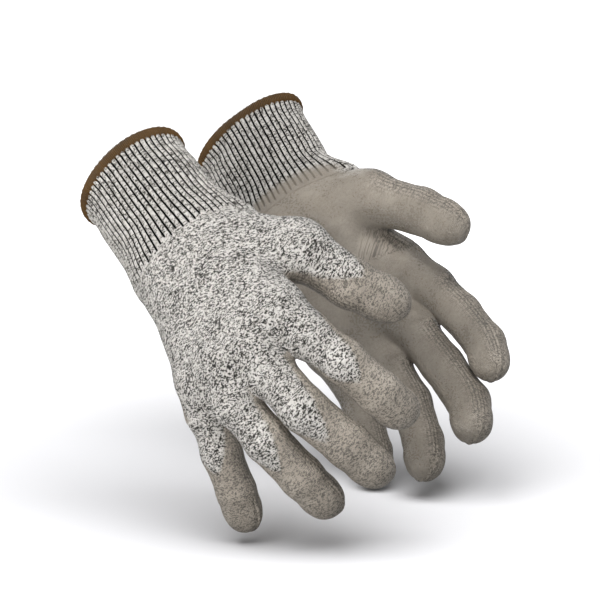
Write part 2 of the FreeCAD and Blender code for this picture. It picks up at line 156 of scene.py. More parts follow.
class Glove:
    """The skeleton of one glove, its distance field and its own coordinates"""

    def __init__(self, side):
        self.side = side
        p = POSE[side]
        self.hem, self.wrist = P(p["hem"]), P(p["wrist"])
        self.k = dict((f, P(p["knuckle"][f])) for f in F4)
        self.r = dict((f, [P(q) for q in p[f]]) for f in F4 + ("thumb",))
        self.back = dict((f, A(p[f + "_back"])) for f in F4 + ("thumb",))
        self.centre = sum(self.k.values()) / 4.0
        self.along = unit(self.centre - self.wrist)
        self.lat = across(self.k["index"] - self.k["little"], self.along)
        n = unit(np.cross(self.along, self.lat))
        if n[1] * (-1 if side == "right" else 1) < 0:
            n = -n
        self.dorsal = n
        self.cuff_dir = unit(self.wrist - self.hem)
        self.cuff_len = np.linalg.norm(self.wrist - self.hem)
        self.ex = across(self.lat, self.cuff_dir)
        self.ey = np.cross(self.cuff_dir, self.ex)
        if np.dot(self.ey, self.dorsal) < 0:
            self.ey = -self.ey
        self.front_dir = unit(sum(unit(self.r[f][0] - self.k[f]) for f in F4))
        mid_ray = unit(unit(self.k["middle"] - self.wrist) + self.front_dir)
        self.n_fold = mid_ray
        spread = {"index": 10.0, "middle": 3.5, "ring": -3.5, "little": -10.0}
        self.w = dict((f, self.wrist + self.lat * spread[f]) for f in F4)
        th = self.r["thumb"]
        # the thumb's own region starts at a plane that leans away from the web
        x = unit(th[2] - th[1])
        away = across(th[1] - self.r["index"][0], x)
        self.n_thumb = unit(x * 0.78 + away * 0.62)
        self.thumb_from = -2.0
        self.build()

    def build(self):
        hand = []
        for f in F4:
            hand.append((self.w[f] - self.cuff_dir * 22.0, self.w[f], 22.0, 23.2))
            hand.append((self.w[f], self.k[f], 23.2, R_KNUCKLE[f] + 0.4))
        front = []
        for f in F4:
            front.append((self.k[f], self.r[f][0], R_KNUCKLE[f], R_FINGER[f][0]))
        fingers = {}
        for f in F4:
            r, R = self.r[f], R_FINGER[f]
            x = unit(r[3] - r[2])
            tip = r[3] - x * (R[4])
            pad = -self.back[f] * 0.5
            fingers[f] = [(self.k[f] * 0.35 + r[0] * 0.65, r[0], R[0] * 1.0, R[0]), (r[0], r[1], R[0] - 0.1, R[1] + 0.15), (r[1], r[2], R[1] + 0.15, R[2] + 0.1),
                          (r[2], tip - x * 4.0, R[2] + 0.1, R[3] + 0.15), (tip - x * 5.0 + pad, tip + pad, R[3], R[4])]
        th = self.r["thumb"]
        x = unit(th[3] - th[2])
        tip = th[3] - x * 10.7
        self.prims = dict(hand=hand, front=front)
        self.prims.update(fingers)
        palm = -self.dorsal
        self.prims["thenar"] = [(th[0], th[1], 20.0, 15.2), (self.wrist + self.along * 14 + self.lat * 14 + palm * 6, th[1] - unit(th[1] - th[0]) * 4, 17.0, 14.5)]
        self.prims["thumb"] = [(th[1] - unit(th[1] - th[0]) * 6, th[1], 14.8, 14.4), (th[1], th[2], 14.4, 12.9), (th[2], tip - x * 5, 12.9, 12.1), (tip - x * 6, tip, 12.1, 11.0)]
        self.web = [(self.wrist + self.along * 22 + self.lat * 12, self.k["index"] + self.front_dir * 1.0 + self.lat * 2.0, 16.0, 11.0)]

    @staticmethod
    def capsule(p, c):
        a, b, r1, r2 = c
        ab = b - a
        t = np.clip(((p - a) @ ab) / np.dot(ab, ab), 0.0, 1.0)
        q = p - a - t[:, None] * ab
        return np.sqrt(np.einsum("ij,ij->i", q, q)) - (r1 + (r2 - r1) * t)

    def chain(self, p, name, k):
        d = None
        for c in self.prims[name]:
            v = self.capsule(p, c)
            d = v if d is None else smin(d, v, k)
        return d

    def field(self, p, parts=False):
        h = self.chain(p, "hand", 9.0)
        fr = self.chain(p, "front", 6.0)
        h = smin(h, fr, 7.0)
        for c in self.web:
            h = smin(h, self.capsule(p, c), 7.0)
        fin = dict((f, self.chain(p, f, 3.0)) for f in F4)
        th = self.chain(p, "thenar", 6.0)
        tb = self.chain(p, "thumb", 3.0)
        # the hollow of the palm
        q = p - (self.wrist * 0.45 + self.centre * 0.55 - self.dorsal * 30.0)
        e = np.sqrt((q @ self.along / 30.0) ** 2 + (q @ self.lat / 21.0) ** 2 + (q @ self.dorsal / 16.0) ** 2)
        hollow = (e - 1.0) * 15.0
        body = smin(h, th, 8.0)
        body = smax(body, -hollow, 7.0)
        f4 = None
        for f in F4:
            f4 = fin[f] if f4 is None else smin(f4, fin[f], 2.2)
        d = smin(body, f4, 4.0)
        d = smin(d, tb, 5.0)
        if parts:
            return d, body, fin, tb
        return d


def surface(g, h):
    """Closed quads of the field's zero set, with the grid step h, moved onto the true surface"""
    pts = [g.wrist - g.cuff_dir * 14] + [g.r[f][3] for f in g.r] + [g.r[f][0] for f in g.r] + [g.k[f] for f in F4] + [g.w[f] for f in F4]
    lo = np.min(pts, axis=0) - 30.0
    hi = np.max(pts, axis=0) + 30.0
    n = np.ceil((hi - lo) / h).astype(int) + 1
    ax = [lo[i] + np.arange(n[i]) * h for i in range(3)]
    # coarse pass, then the full field only near the surface
    c = 6
    D = np.empty(n, np.float32)
    D.fill(50.0)
    cx = [ax[i][::c] + h * (c - 1) / 2 for i in range(3)]
    X, Y, Z = np.meshgrid(*cx, indexing="ij")
    dc = g.field(np.stack([X.ravel(), Y.ravel(), Z.ravel()], 1)).reshape(X.shape)
    near = np.abs(dc) < h * c * 0.9 + 3.0
    D[:] = np.kron(np.sign(dc), np.ones((c, c, c), np.float32))[:n[0], :n[1], :n[2]] * 50.0
    big = np.kron(near, np.ones((c, c, c), bool))[:n[0], :n[1], :n[2]]
    idx = np.argwhere(big)
    for s in range(0, len(idx), 400000):
        part = idx[s:s + 400000]
        D[part[:, 0], part[:, 1], part[:, 2]] = g.field(lo + part * h)
    S = D < 0
    cell = np.zeros(np.array(D.shape) - 1, np.uint8)
    for dx in (0, 1):
        for dy in (0, 1):
            for dz in (0, 1):
                cell += S[dx:dx + cell.shape[0], dy:dy + cell.shape[1], dz:dz + cell.shape[2]]
    act = (cell > 0) & (cell < 8)
    ids = -np.ones(cell.shape, np.int64)
    cells = np.argwhere(act)
    ids[act] = np.arange(len(cells))
    tot = np.zeros((len(cells), 3))
    cnt = np.zeros(len(cells))
    corners = [(0, 0, 0), (1, 0, 0), (0, 1, 0), (1, 1, 0), (0, 0, 1), (1, 0, 1), (0, 1, 1), (1, 1, 1)]
    for i in range(8):
        for axis in range(3):
            a = corners[i]
            if a[axis]:
                continue
            b = list(a)
            b[axis] = 1
            va = D[cells[:, 0] + a[0], cells[:, 1] + a[1], cells[:, 2] + a[2]].astype(float)
            vb = D[cells[:, 0] + b[0], cells[:, 1] + b[1], cells[:, 2] + b[2]].astype(float)
            m = (va < 0) != (vb < 0)
            t = np.where(m, va / np.where(m, va - vb, 1.0), 0.0)
            pt = np.tile(np.array(a, float), (len(cells), 1))
            pt[:, axis] += t
            tot[m] += pt[m]
            cnt[m] += 1
    co = lo + (cells + tot / cnt[:, None]) * h
    faces = []
    for axis in range(3):
        o1, o2 = [(1, 2), (2, 0), (0, 1)][axis]
        sl_a = [slice(None)] * 3
        sl_b = [slice(None)] * 3
        sl_a[axis] = slice(0, -1)
        sl_b[axis] = slice(1, None)
        diff = S[tuple(sl_a)] != S[tuple(sl_b)]
        e = np.argwhere(diff)
        e = e[(e[:, o1] > 0) & (e[:, o2] > 0) & (e[:, o1] < D.shape[o1] - 1) & (e[:, o2] < D.shape[o2] - 1)]
        inside = S[e[:, 0], e[:, 1], e[:, 2]]
        q = []
        for du, dv in ((0, 0), (1, 0), (1, 1), (0, 1)):
            cc = e.copy()
            cc[:, o1] -= du
            cc[:, o2] -= dv
            q.append(ids[cc[:, 0], cc[:, 1], cc[:, 2]])
        q = np.stack(q, 1)
        q = np.where(inside[:, None], q, q[:, ::-1])
        faces.append(q[(q >= 0).all(1)])
    faces = np.concatenate(faces)
    # relax along the surface, then project onto it
    e = h * 0.5
    for it in range(3):
        acc = np.zeros_like(co)
        num = np.zeros(len(co))
        for a, b in ((0, 1), (1, 2), (2, 3), (3, 0)):
            np.add.at(acc, faces[:, a], co[faces[:, b]])
            np.add.at(acc, faces[:, b], co[faces[:, a]])
            np.add.at(num, faces[:, a], 1)
            np.add.at(num, faces[:, b], 1)
        ok = num > 0
        co[ok] = co[ok] * 0.5 + (acc[ok] / num[ok][:, None]) * 0.5
        d0 = g.field(co)
        grad = np.stack([g.field(co + np.eye(3)[i] * e) - d0 for i in range(3)], 1) / e
        gl = np.maximum(np.linalg.norm(grad, axis=1), 0.3)
        co -= grad / gl[:, None] * (d0 / gl)[:, None]
    d0 = g.field(co)
    grad = np.stack([g.field(co + np.eye(3)[i] * e) - g.field(co - np.eye(3)[i] * e) for i in range(3)], 1)
    nor = grad / np.maximum(np.linalg.norm(grad, axis=1), 1e-9)[:, None]
    return co, nor, faces
# ---------------------------------------------------------------- materials
class Nodes:
    """A short way to write node trees"""

    def __init__(self, name):
        self.mat = bpy.data.materials.new(name)
        self.mat.use_nodes = True
        self.t = self.mat.node_tree
        self.t.nodes.clear()
        self.out = self.t.nodes.new("ShaderNodeOutputMaterial")
        self.b = self.t.nodes.new("ShaderNodeBsdfPrincipled")
        self.t.links.new(self.b.outputs[0], self.out.inputs[0])

    def put(self, sock, v):
        if isinstance(v, bpy.types.NodeSocket):
            self.t.links.new(v, sock)
        elif v is not None:
            sock.default_value = v

    def math(self, op, a, b=None, c=None, clamp=False):
        n = self.t.nodes.new("ShaderNodeMath")
        n.operation = op
        n.use_clamp = clamp
        for i, v in enumerate((a, b, c)):
            if v is not None:
                self.put(n.inputs[i], v)
        return n.outputs[0]

    def add(self, a, b): return self.math("ADD", a, b)
    def sub(self, a, b): return self.math("SUBTRACT", a, b)
    def mul(self, a, b): return self.math("MULTIPLY", a, b)

    def step(self, x, a, b, lo=0.0, hi=1.0, kind="SMOOTHSTEP"):
        n = self.t.nodes.new("ShaderNodeMapRange")
        n.interpolation_type = kind
        for s, v in zip(("Value", "From Min", "From Max", "To Min", "To Max"), (x, a, b, lo, hi)):
            self.put(n.inputs[s], v)
        return n.outputs[0]

    def attr(self, name):
        n = self.t.nodes.new("ShaderNodeAttribute")
        n.attribute_name = name
        return n

    def split(self, v):
        n = self.t.nodes.new("ShaderNodeSeparateXYZ")
        self.put(n.inputs[0], v)
        return n.outputs

    def vec(self, x, y, z=0.0):
        n = self.t.nodes.new("ShaderNodeCombineXYZ")
        for i, v in enumerate((x, y, z)):
            self.put(n.inputs[i], v)
        return n.outputs[0]

    def white(self, v):
        n = self.t.nodes.new("ShaderNodeTexWhiteNoise")
        n.noise_dimensions = "3D"
        self.put(n.inputs["Vector"], v)
        return n.outputs["Value"]

    def noise(self, v, scale, detail=2.0, rough=0.5):
        n = self.t.nodes.new("ShaderNodeTexNoise")
        self.put(n.inputs["Vector"], v)
        n.inputs["Scale"].default_value = scale
        n.inputs["Detail"].default_value = detail
        n.inputs["Roughness"].default_value = rough
        return n.outputs[0]

    def mix(self, f, a, b, mode="MIX"):
        n = self.t.nodes.new("ShaderNodeMix")
        n.data_type = "RGBA"
        n.blend_type = mode
        self.put(n.inputs[0], f)
        self.put(n.inputs[6], a)
        self.put(n.inputs[7], b)
        return n.outputs[2]

    def ramp(self, f, stops, kind="LINEAR"):
        n = self.t.nodes.new("ShaderNodeValToRGB")
        r = n.color_ramp
        r.interpolation = kind
        while len(r.elements) < len(stops):
            r.elements.new(0.5)
        for e, (p, c) in zip(r.elements, stops):
            e.position = p
            e.color = c
        self.put(n.inputs[0], f)
        return n.outputs[0]

    def bump(self, h, dist, strength=1.0, normal=None):
        n = self.t.nodes.new("ShaderNodeBump")
        n.inputs["Strength"].default_value = strength
        self.put(n.inputs["Distance"], dist)
        self.put(n.inputs["Height"], h)
        if normal is not None:
            self.put(n.inputs["Normal"], normal)
        return n.outputs[0]

    def obj(self):
        """Rest position in mm, carried by the mesh, so that a texture stays on the fabric when it bends"""
        return self.attr("rest").outputs["Vector"]


def rgb(h, a=1.0):
    """A colour written as on a screen, #rrggbb, for the linear inputs of the nodes"""
    v = [int(h[i:i + 2], 16) / 255.0 for i in (1, 3, 5)]
    return tuple((x / 12.92 if x <= 0.04045 else ((x + 0.055) / 1.055) ** 2.4) for x in v) + (a,)


def knit_nodes(m, u, v, wale=0.64, course=0.46):
    """Plain knit: each stitch is a V of two leaning yarn legs.  Gives the yarn's random tone, and its height."""
    U = m.mul(u, 1.0 / wale)
    fu = m.math("FRACT", U)
    x = m.math("ABSOLUTE", m.sub(fu, 0.5))
    V = m.add(m.mul(v, 1.0 / course), m.mul(x, 1.3))
    fv = m.math("FRACT", V)
    row = m.math("FLOOR", V)
    # the melange yarn keeps its tone for a stitch or two along the course, and each leg differs a little
    shift = m.white(m.vec(row, 7.0, 1.0))
    run = m.math("FLOOR", m.add(m.mul(U, 0.62), m.mul(shift, 5.0)))
    pair = m.white(m.vec(run, row, 11.0))
    tone = m.white(m.vec(m.math("FLOOR", m.mul(U, 2.0)), row, 3.0))
    lx = m.sub(m.mul(m.math("FRACT", m.mul(U, 2.0)), 2.0), 1.0)
    ly = m.sub(m.mul(fv, 2.0), 1.0)
    hx = m.sub(1.0, m.mul(lx, lx))
    hy = m.sub(1.0, m.mul(m.mul(ly, ly), 0.8))
    height = m.mul(m.math("POWER", m.math("MAXIMUM", hx, 0.0), 0.6), hy)
    return tone, pair, height


def knit_colour(m, tone, pair, height, grain):
    t = m.add(m.mul(tone, 0.42), m.mul(pair, 0.58))
    t = m.add(t, m.mul(m.sub(grain, 0.5), 0.30))
    col = m.ramp(t, [(0.0, rgb("#0b0a09")), (0.33, rgb("#171513")), (0.41, rgb("#4c4843")), (0.48, rgb("#bab6b0")), (0.60, rgb("#dedbd6")), (1.0, rgb("#f2efec"))])
    # darker where the yarn lies low, between the legs and rows: painted shade in the gaps between stitches
    return m.mix(m.step(height, 0.0, 0.7, 0.34, 0.0), col, rgb("#55514c"))


def make_glove_material():
    m = Nodes("melange_knit_and_dipped_coating")
    k = m.split(m.attr("kuv").outputs["Vector"])
    coat = m.attr("coat").outputs["Fac"]
    rest = m.obj()
    # where the stitch coordinates jump, the stitches follow the rest position instead
    jump = m.math("GREATER_THAN", m.attr("seam").outputs["Fac"], 0.001)
    r3 = m.split(rest)
    kx = m.add(r3[0], m.mul(r3[1], 0.6))
    kz = m.add(r3[2], m.mul(r3[1], 0.3))
    k = [m.add(m.mul(a, m.sub(1.0, jump)), m.mul(b, jump)) for a, b in ((k[0], kx), (k[1], kz), (k[2], kx))]
    grain = m.noise(rest, 0.22, 3.0)
    tone, pair, height = knit_nodes(m, k[0], k[1])
    knit = knit_colour(m, tone, pair, height, grain)
    # the coating's edge soaks into the knit stitch by stitch
    soft = m.noise(rest, 0.30, 4.0, 0.65)
    edge = m.add(coat, m.add(m.mul(m.sub(soft, 0.5), 0.75), m.add(m.mul(m.sub(tone, 0.5), 0.30), m.mul(m.sub(pair, 0.5), 0.30))))
    mask = m.step(edge, 0.40, 0.62)
    soak = m.step(edge, 0.10, 0.50)
    # coating colour: warm taupe grey, a little mottled; the melange shows through where it is thin
    t2, p2, h2 = knit_nodes(m, k[2], k[1], 0.95, 0.75)
    mott = m.noise(rest, 0.05, 4.0, 0.55)
    fine = m.noise(rest, 0.9, 2.0)
    ccol = m.ramp(mott, [(0.25, rgb("#857d72")), (0.5, rgb("#9b9286")), (0.75, rgb("#b1a89c"))])
    ccol = m.mix(m.mul(m.step(fine, 0.3, 0.7), 0.22), ccol, rgb("#b5ada2"))
    thin = m.attr("thin").outputs["Fac"]
    side = m.attr("flank").outputs["Fac"]
    t = m.add(m.add(m.mul(tone, 0.42), m.mul(pair, 0.58)), m.mul(m.sub(grain, 0.5), 0.30))
    spk = m.step(t, 0.22, 0.60, 0.12, 1.12)
    ccol = m.mix(thin, ccol, spk, "MULTIPLY")
    wale = m.math("ABSOLUTE", m.sub(m.math("FRACT", m.mul(k[0], 1.0 / 1.9)), 0.5))
    # dark wale stripes down the sides of the fingers: partly the wales showing through the thin coating, partly painted
    # shade on the finger sides, which face each other
    ccol = m.mix(m.mul(side, m.step(wale, 0.05, 0.35, 0.75, 0.0)), ccol, rgb("#3b3630"))
    # the coating is darker where its stitch relief lies low: painted shade in the gaps between stitches
    ccol = m.mix(m.mul(m.step(h2, 0.15, 0.75, 1.0, 0.0), 0.26), ccol, rgb("#4f483f"))
    knit = m.mix(m.mul(soak, 0.50), knit, rgb("#92897d"))
    m.put(m.b.inputs["Base Color"], m.mix(mask, knit, ccol))
    rough = m.add(m.mul(fine, 0.14), m.mul(mott, 0.18))
    m.put(m.b.inputs["Roughness"], m.add(m.mul(mask, m.add(m.add(rough, 0.08), m.mul(thin, 0.36))), m.mul(m.sub(1.0, mask), 0.92)))
    m.put(m.b.inputs["Specular IOR Level"], m.step(mask, 0.0, 1.0, 0.15, 0.80))
    m.put(m.b.inputs["Sheen Weight"], m.step(mask, 0.0, 1.0, 0.12, 0.0))
    m.b.inputs["Sheen Roughness"].default_value = 0.5
    fuzz = m.noise(rest, 1.8, 2.0)
    hk = m.mul(m.add(height, m.mul(fuzz, 0.35)), m.sub(1.0, mask))
    crinkle = m.noise(m.vec(m.mul(k[2], 0.35), m.mul(k[1], 1.0), 0.0), 0.75, 3.0, 0.6)
    hc = m.mul(m.add(m.add(m.mul(h2, 0.95), m.mul(crinkle, 1.6)), m.add(m.mul(fine, 0.35), m.mul(m.noise(rest, 0.16, 3.0), 1.5))), mask)
    m.put(m.b.inputs["Normal"], m.bump(m.add(hk, hc), 0.00030, 1.0))
    return m.mat


def make_rib_material():
    m = Nodes("ribbed_melange_knit")
    k = m.split(m.attr("kuv").outputs["Vector"])
    groove = m.attr("groove").outputs["Fac"]
    rest = m.obj()
    grain = m.noise(rest, 0.22, 3.0)
    tone, pair, height = knit_nodes(m, k[0], k[1], 0.8, 0.62)
    knit = m.mix(0.20, knit_colour(m, m.add(m.mul(tone, 0.85), 0.15), m.add(m.mul(pair, 0.9), 0.1), height, grain), rgb("#6b6761"))
    g = m.add(groove, m.mul(m.sub(m.noise(rest, 0.9, 2.0), 0.5), 0.16))
    # the grooves between the ribs are painted near black, with a few lighter flecks: painted shade in the recesses
    groove_shade = m.step(g, 0.30, 0.46)
    inner = m.mix(m.step(tone, 0.85, 1.0), rgb("#0c0b0a"), rgb("#2a2724"))
    dip = m.attr("coat").outputs["Fac"]
    wet = m.step(m.add(dip, m.mul(m.sub(m.noise(rest, 0.30, 4.0, 0.65), 0.5), 0.5)), 0.15, 0.85)
    col = m.mix(groove_shade, knit, inner)
    m.put(m.b.inputs["Base Color"], m.mix(m.mul(wet, m.step(groove_shade, 0.0, 1.0, 0.95, 0.70)), col, rgb("#92897d")))
    m.put(m.b.inputs["Roughness"], m.step(wet, 0.0, 1.0, 0.93, 0.40))
    m.put(m.b.inputs["Specular IOR Level"], m.step(wet, 0.0, 1.0, 0.12, 0.5))
    m.put(m.b.inputs["Sheen Weight"], m.step(groove_shade, 0.0, 1.0, 0.12, 0.0))
    m.put(m.b.inputs["Normal"], m.bump(m.add(height, m.mul(m.noise(rest, 1.8, 2.0), 0.35)), 0.0003, 1.0))
    return m.mat


def make_hem_material():
    m = Nodes("brown_overlock_thread")
    th = m.attr("thread").outputs["Fac"]
    rest = m.obj()
    n1 = m.noise(rest, 0.12, 3.0)
    n2 = m.noise(rest, 1.4, 2.0)
    # darker between the wraps of thread and lighter on their crowns, mixed with random tone: painted shade in the
    # grooves between wraps
    col = m.ramp(m.add(m.mul(th, 0.5), m.mul(n1, 0.5)), [(0.15, rgb("#1a1002")), (0.5, rgb("#3e2907")), (0.85, rgb("#5e4012"))])
    col = m.mix(m.mul(n2, 0.10), col, rgb("#80602f"))
    m.put(m.b.inputs["Base Color"], col)
    m.b.inputs["Roughness"].default_value = 0.78
    m.b.inputs["Specular IOR Level"].default_value = 0.25
    m.b.inputs["Sheen Weight"].default_value = 0.15
    m.put(m.b.inputs["Normal"], m.bump(m.add(th, m.mul(n2, 0.4)), 0.0002, 0.8))
    return m.mat


def make_elastic_material():
    m = Nodes("covered_elastic_yarn")
    t = m.t.nodes.new("ShaderNodeTexCoord").outputs["Object"]
    n = m.noise(t, 900.0, 3.0)
    m.put(m.b.inputs["Base Color"], m.ramp(n, [(0.3, rgb("#8c8780")), (0.7, rgb("#cfcac3"))]))
    m.b.inputs["Roughness"].default_value = 0.85
    m.put(m.b.inputs["Normal"], m.bump(n, 0.0002, 0.8))
    return m.mat


M_GLOVE = make_glove_material()
M_RIB = make_rib_material()
M_HEM = make_hem_material()
M_ELASTIC = make_elastic_material()


# ---------------------------------------------------------------- meshes
def build_mesh(name, co, faces, normals, attrs, mat):
    """co in mm; faces is a list of index arrays"""
    me = bpy.data.meshes.new(name)
    F = [np.asarray(f, np.int32) for f in faces if len(f)]
    total = np.concatenate([f.ravel() for f in F])
    sizes = np.concatenate([np.full(len(f), f.shape[1], np.int32) for f in F])
    starts = np.concatenate([[0], np.cumsum(sizes)[:-1]]).astype(np.int32)
    me.vertices.add(len(co))
    me.vertices.foreach_set("co", (co / 1000.0).astype(np.float32).ravel())
    me.loops.add(len(total))
    me.loops.foreach_set("vertex_index", total)
    me.polygons.add(len(sizes))
    me.polygons.foreach_set("loop_start", starts)
    me.polygons.foreach_set("use_smooth", np.ones(len(sizes), bool))
    me.update(calc_edges=True)
    me.validate()
    for key, val in attrs.items():
        if val.ndim == 1:
            a = me.attributes.new(key, "FLOAT", "POINT")
            a.data.foreach_set("value", val.astype(np.float32))
        else:
            a = me.attributes.new(key, "FLOAT_VECTOR", "POINT")
            a.data.foreach_set("vector", val.astype(np.float32).ravel())
    a = me.attributes.new("rest", "FLOAT_VECTOR", "POINT")
    a.data.foreach_set("vector", co.astype(np.float32).ravel())
    if normals is not None:
        me.normals_split_custom_set_from_vertices([tuple(n) for n in normals])
    me.materials.append(mat)
    ob = bpy.data.objects.new(name, me)
    bpy.context.scene.collection.objects.link(ob)
    return ob


def vertex_normals(co, faces):
    a, b, c, d = co[faces[:, 0]], co[faces[:, 1]], co[faces[:, 2]], co[faces[:, 3]]
    fn = np.cross(c - a, d - b)
    n = np.zeros_like(co)
    for i in range(4):
        np.add.at(n, faces[:, i], fn)
    return n / np.maximum(np.linalg.norm(n, axis=1), 1e-9)[:, None]


def shell_piece(name, co, nor, faces, attrs, mat, wall=1.1):
    """A closed thin shell from an open patch of quads: the patch, a copy inside it, and the rim that joins them"""
    used = np.unique(faces)
    remap = -np.ones(len(co), np.int64)
    remap[used] = np.arange(len(used))
    f = remap[faces]
    n = len(used)
    e = np.concatenate([f[:, [0, 1]], f[:, [1, 2]], f[:, [2, 3]], f[:, [3, 0]]])
    key = e[:, 0] * (n + 1) + e[:, 1]
    rev = e[:, 1] * (n + 1) + e[:, 0]
    edge = e[~np.isin(key, rev)]
    o = co[used]
    inner = o - nor[used] * wall
    rim = np.stack([edge[:, 1], edge[:, 0], edge[:, 0] + n, edge[:, 1] + n], 1)
    allco = np.concatenate([o, inner])
    alln = np.concatenate([nor[used], -nor[used]])
    at = dict((k, np.concatenate([v[used], v[used]])) for k, v in attrs.items())
    return build_mesh(name, allco, [f, f[:, ::-1] + n, rim], alln, at, mat)


# how far the bare knit runs along the back of each finger, from the web (mm)
TONGUE = {"index": 35.0, "middle": 46.0, "ring": 41.0, "little": 31.0, "thumb": 37.0}


def centre_line(g, f):
    """The finger's bones with every bend rounded off, as short steps from the web to the tip"""
    r = g.r[f] if f != "thumb" else g.r[f][1:]
    pts = [r[0]]
    for i in range(1, len(r) - 1):
        a, b = unit(r[i - 1] - r[i]), unit(r[i + 1] - r[i])
        w = 10.0
        p0, p2 = r[i] + a * w, r[i] + b * w
        for t in np.linspace(0.0, 1.0, 11):
            pts.append(p0 * (1 - t) ** 2 + r[i] * 2 * t * (1 - t) + p2 * t * t)
    pts.append(r[-1])
    return pts


def finger_coords(g, f, p):
    """Distance along a finger from its web, and the offsets across it and towards its back"""
    pts = centre_line(g, f)
    s0 = 0.0
    S = np.zeros(len(p))
    L = np.zeros(len(p))
    B = np.zeros(len(p))
    D = np.full(len(p), 1e9)
    last = len(pts) - 2
    for i in range(last + 1):
        a, b = pts[i], pts[i + 1]
        ln = np.linalg.norm(b - a)
        x = (b - a) / ln
        y = across(g.back[f], x)
        z = np.cross(x, y)
        q = p - a
        t = q @ x
        tc = np.clip(t, -60.0 if i == 0 else 0.0, 60.0 if i == last else ln)
        rel = q - tc[:, None] * x
        dd = np.einsum("ij,ij->i", rel, rel)
        m = dd < D - 1e-9
        S[m] = (s0 + tc)[m]
        L[m] = (rel @ z)[m]
        B[m] = (rel @ y)[m]
        D[m] = dd[m]
        s0 += ln
    return S, L, B, s0


